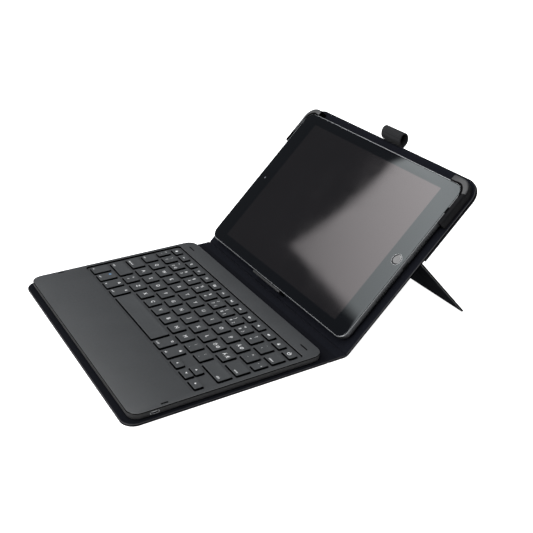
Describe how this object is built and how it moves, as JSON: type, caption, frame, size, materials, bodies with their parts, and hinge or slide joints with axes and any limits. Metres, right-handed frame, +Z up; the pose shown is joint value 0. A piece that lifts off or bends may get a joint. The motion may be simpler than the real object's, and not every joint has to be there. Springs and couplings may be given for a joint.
{
  "type": "tablet keyboard case",
  "caption": "Folio case that holds a tablet upright over a slim keyboard, with two folding creases, edge clips, a fold-out rear stand and a stylus loop.",
  "frame": {"origin": "middle of the base panel's underside, on the surface that the case stands on", "axes": "+Z up, +Y away from the user from the keyboard towards the stand, +X to the user's right"},
  "size_m": [0.253, 0.3447, 0.1469],
  "materials": {
    "outer_skin": "fine-grained coated fabric, matt",
    "cover_board": "stiff fibre board",
    "lining": "close woven microfibre",
    "crease": "flexible coated fabric",
    "elastic": "woven elastic",
    "clip": "smooth soft plastic",
    "case": "satin dark grey",
    "deck": "satin dark grey",
    "keycap": "satin dark grey",
    "plate": "rolled steel sheet",
    "membrane": "polyester film",
    "dome": "silicone",
    "board": "solder mask",
    "can": "tinned can",
    "cell": "foil pouch",
    "ribbon": "polyimide film",
    "socket": "plated steel",
    "bumper": "black rubber",
    "screw": "zinc plated",
    "magnet": "nickel plated",
    "tablet_shell": "bead blasted",
    "tablet_glass": "black polished glass",
    "display": "unlit display",
    "button": "black polished",
    "lens": "dark polished"
  },
  "bodies": {
    "base": {"base_outer_skin": "outer_skin", "base_board": "cover_board", "base_lining": "lining", "keyboard_bottom_case": "case", "keyboard_deck": "deck", "key_support_plate": "plate", "key_membrane": "membrane", "key_domes": "dome", "main_board": "board", "bluetooth_module": "can", "battery": "cell", "ribbon_cable": "ribbon", "usb_socket": "socket", "front_bumpers": "bumper", "rear_bumpers": "bumper", "case_screws": "screw", "closure_magnets": "magnet"},
    "spine": {"spine_outer_skin": "outer_skin", "spine_board": "cover_board", "spine_lining": "lining", "base_hinge_strip": "crease", "back_hinge_strip": "crease"},
    "back_panel": {"back_outer_skin": "outer_skin", "back_board": "cover_board", "back_lining": "lining", "back_upper_layer": "outer_skin", "stand_hinge_strip": "crease", "cradle_plate": "clip", "left_corner_clip": "clip", "right_corner_clip": "clip", "bottom_clip": "clip", "stylus_loop": "elastic"},
    "stand": {"stand_board": "cover_board", "stand_front_skin": "lining", "stand_back_skin": "outer_skin"},
    "tablet": {"tablet_housing": "tablet_shell", "tablet_glass": "tablet_glass", "tablet_display": "display", "tablet_battery": "cell", "tablet_rear_camera": "lens"},
    "home_button": {"tablet_home_button": "button"},
    "function_keys": {"function_keys": "keycap"},
    "number_keys": {"number_keys": "keycap"},
    "backspace_key": {"backspace_key": "keycap"},
    "tab_key": {"tab_key": "keycap"},
    "top_letter_keys": {"top_letter_keys": "keycap"},
    "caps_lock_key": {"caps_lock_key": "keycap"},
    "home_letter_keys": {"home_letter_keys": "keycap"},
    "enter_key": {"enter_key": "keycap"},
    "left_shift_key": {"left_shift_key": "keycap"},
    "bottom_letter_keys": {"bottom_letter_keys": "keycap"},
    "right_shift_key": {"right_shift_key": "keycap"},
    "left_modifier_keys": {"left_modifier_keys": "keycap"},
    "space_bar": {"space_bar": "keycap"},
    "right_modifier_keys": {"right_modifier_keys": "keycap"},
    "arrow_left_key": {"arrow_left_key": "keycap"},
    "arrow_down_key": {"arrow_down_key": "keycap"},
    "arrow_up_key": {"arrow_up_key": "keycap"},
    "arrow_right_key": {"arrow_right_key": "keycap"}
  },
  "joints": [
    {"name": "base_fold", "type": "hinge", "parent": "base", "child": "spine", "pos_m": [0, 0.09175, 0.0012], "axis": [1, 0, 0], "range_deg": [0, 90]},
    {"name": "back_fold", "type": "hinge", "parent": "spine", "child": "back_panel", "pos_m": [0, 0.11055, 0.0012], "axis": [1, 0, 0], "range_deg": [-44.42, 45.58]},
    {"name": "stand_fold", "type": "hinge", "parent": "back_panel", "child": "stand", "pos_m": [0, 0.18644, 0.07221], "axis": [1, 0, 0], "range_deg": [-88.18, 0]},
    {"name": "tablet_slide", "type": "slide", "parent": "back_panel", "child": "tablet", "axis": [0, 0.6999, -0.7142], "range_m": [-0.06, 0]},
    {"name": "home_button_press", "type": "slide", "parent": "tablet", "child": "home_button", "axis": [0, 0.6999, -0.7142], "range_m": [0, 0.0003], "stiffness_N_per_m": 1500, "springref_m": -0.0002},
    {"name": "function_press", "type": "slide", "parent": "base", "child": "function_keys", "axis": [0, 0, 1], "range_m": [-0.0012, 0], "stiffness_N_per_m": 5600, "springref_m": 0.0004, "deforming": ["key_domes"]},
    {"name": "number_press", "type": "slide", "parent": "base", "child": "number_keys", "axis": [0, 0, 1], "range_m": [-0.0012, 0], "stiffness_N_per_m": 5200, "springref_m": 0.0004, "deforming": ["key_domes"]},
    {"name": "backspace_press", "type": "slide", "parent": "base", "child": "backspace_key", "axis": [0, 0, 1], "range_m": [-0.0012, 0], "stiffness_N_per_m": 400, "springref_m": 0.0004, "deforming": ["key_domes"]},
    {"name": "tab_press", "type": "slide", "parent": "base", "child": "tab_key", "axis": [0, 0, 1], "range_m": [-0.0012, 0], "stiffness_N_per_m": 400, "springref_m": 0.0004, "deforming": ["key_domes"]},
    {"name": "top_letter_press", "type": "slide", "parent": "base", "child": "top_letter_keys", "axis": [0, 0, 1], "range_m": [-0.0012, 0], "stiffness_N_per_m": 5200, "springref_m": 0.0004, "deforming": ["key_domes"]},
    {"name": "caps_lock_press", "type": "slide", "parent": "base", "child": "caps_lock_key", "axis": [0, 0, 1], "range_m": [-0.0012, 0], "stiffness_N_per_m": 400, "springref_m": 0.0004, "deforming": ["key_domes"]},
    {"name": "home_letter_press", "type": "slide", "parent": "base", "child": "home_letter_keys", "axis": [0, 0, 1], "range_m": [-0.0012, 0], "stiffness_N_per_m": 4400, "springref_m": 0.0004, "deforming": ["key_domes"]},
    {"name": "enter_press", "type": "slide", "parent": "base", "child": "enter_key", "axis": [0, 0, 1], "range_m": [-0.0012, 0], "stiffness_N_per_m": 400, "springref_m": 0.0004, "deforming": ["key_domes"]},
    {"name": "left_shift_press", "type": "slide", "parent": "base", "child": "left_shift_key", "axis": [0, 0, 1], "range_m": [-0.0012, 0], "stiffness_N_per_m": 400, "springref_m": 0.0004, "deforming": ["key_domes"]},
    {"name": "bottom_letter_press", "type": "slide", "parent": "base", "child": "bottom_letter_keys", "axis": [0, 0, 1], "range_m": [-0.0012, 0], "stiffness_N_per_m": 4000, "springref_m": 0.0004, "deforming": ["key_domes"]},
    {"name": "right_shift_press", "type": "slide", "parent": "base", "child": "right_shift_key", "axis": [0, 0, 1], "range_m": [-0.0012, 0], "stiffness_N_per_m": 400, "springref_m": 0.0004, "deforming": ["key_domes"]},
    {"name": "left_modifier_press", "type": "slide", "parent": "base", "child": "left_modifier_keys", "axis": [0, 0, 1], "range_m": [-0.0012, 0], "stiffness_N_per_m": 1600, "springref_m": 0.0004, "deforming": ["key_domes"]},
    {"name": "space_bar_press", "type": "slide", "parent": "base", "child": "space_bar", "axis": [0, 0, 1], "range_m": [-0.0012, 0], "stiffness_N_per_m": 400, "springref_m": 0.0004, "deforming": ["key_domes"]},
    {"name": "right_modifier_press", "type": "slide", "parent": "base", "child": "right_modifier_keys", "axis": [0, 0, 1], "range_m": [-0.0012, 0], "stiffness_N_per_m": 800, "springref_m": 0.0004, "deforming": ["key_domes"]},
    {"name": "arrow_left_press", "type": "slide", "parent": "base", "child": "arrow_left_key", "axis": [0, 0, 1], "range_m": [-0.0012, 0], "stiffness_N_per_m": 400, "springref_m": 0.0004, "deforming": ["key_domes"]},
    {"name": "arrow_down_press", "type": "slide", "parent": "base", "child": "arrow_down_key", "axis": [0, 0, 1], "range_m": [-0.0012, 0], "stiffness_N_per_m": 400, "springref_m": 0.0004, "deforming": ["key_domes"]},
    {"name": "arrow_up_press", "type": "slide", "parent": "base", "child": "arrow_up_key", "axis": [0, 0, 1], "range_m": [-0.0012, 0], "stiffness_N_per_m": 400, "springref_m": 0.0004, "deforming": ["key_domes"]},
    {"name": "arrow_right_press", "type": "slide", "parent": "base", "child": "arrow_right_key", "axis": [0, 0, 1], "range_m": [-0.0012, 0], "stiffness_N_per_m": 400, "springref_m": 0.0004, "deforming": ["key_domes"]}
  ]
}
